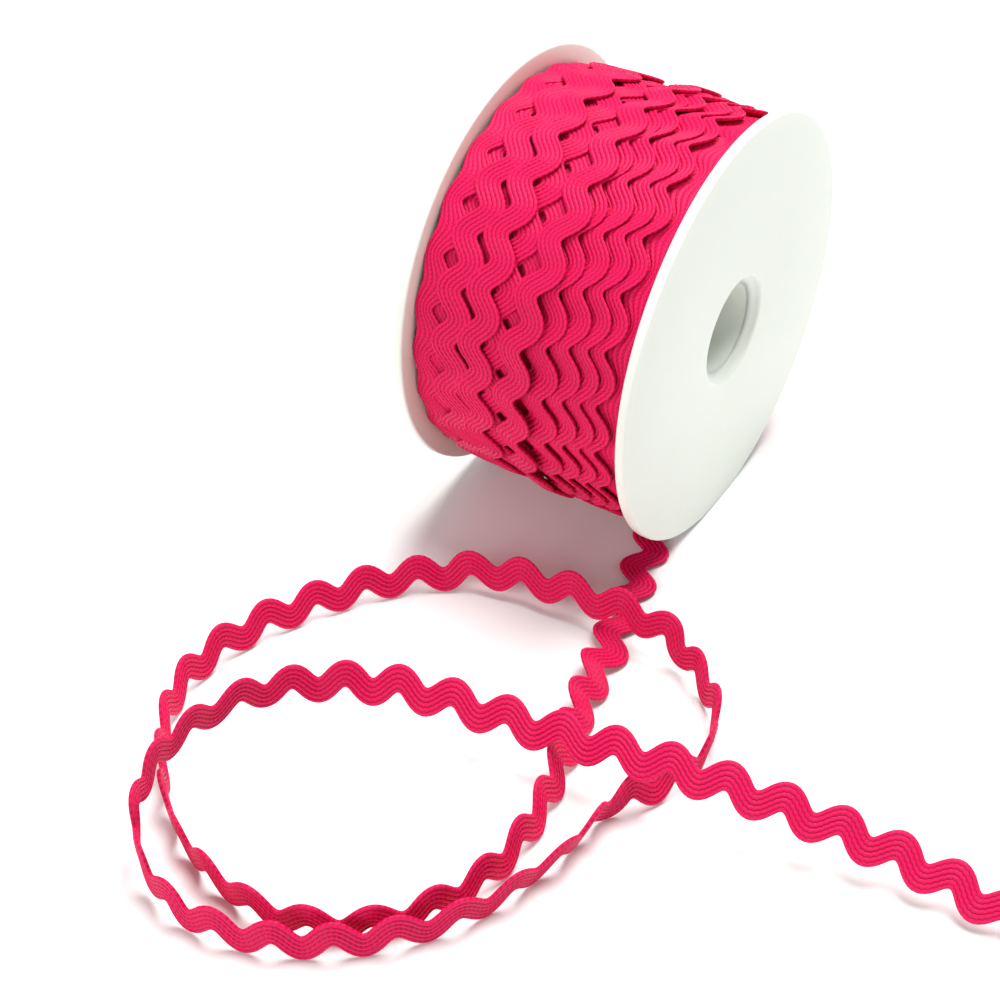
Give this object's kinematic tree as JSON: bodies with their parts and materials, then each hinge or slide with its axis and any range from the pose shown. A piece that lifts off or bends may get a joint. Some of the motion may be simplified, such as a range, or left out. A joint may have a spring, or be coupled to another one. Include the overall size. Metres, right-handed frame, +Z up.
{
  "type": "spool of ric rac trimming",
  "caption": "Wavy ric rac trimming wound on a white plastic spool with two round end discs and a central bore, its loose end lying in loops on the surface.",
  "frame": {"origin": "on the surface the spool stands on, under the middle of the spool", "axes": "+X along the spool's bore towards the disc that faces the camera, +Y away from the loose end, +Z up"},
  "size_m": [0.1531, 0.1844, 0.0846],
  "materials": {
    "spool_plastic": "satin moulded plastic",
    "ric_rac": "braided polyester, fine ribs along the wave"
  },
  "bodies": {
    "root": {"flange_left": "spool_plastic", "flange_right": "spool_plastic", "core_tube": "spool_plastic", "wound_ric_rac": "ric_rac", "loose_end": "ric_rac"}
  },
  "joints": []
}
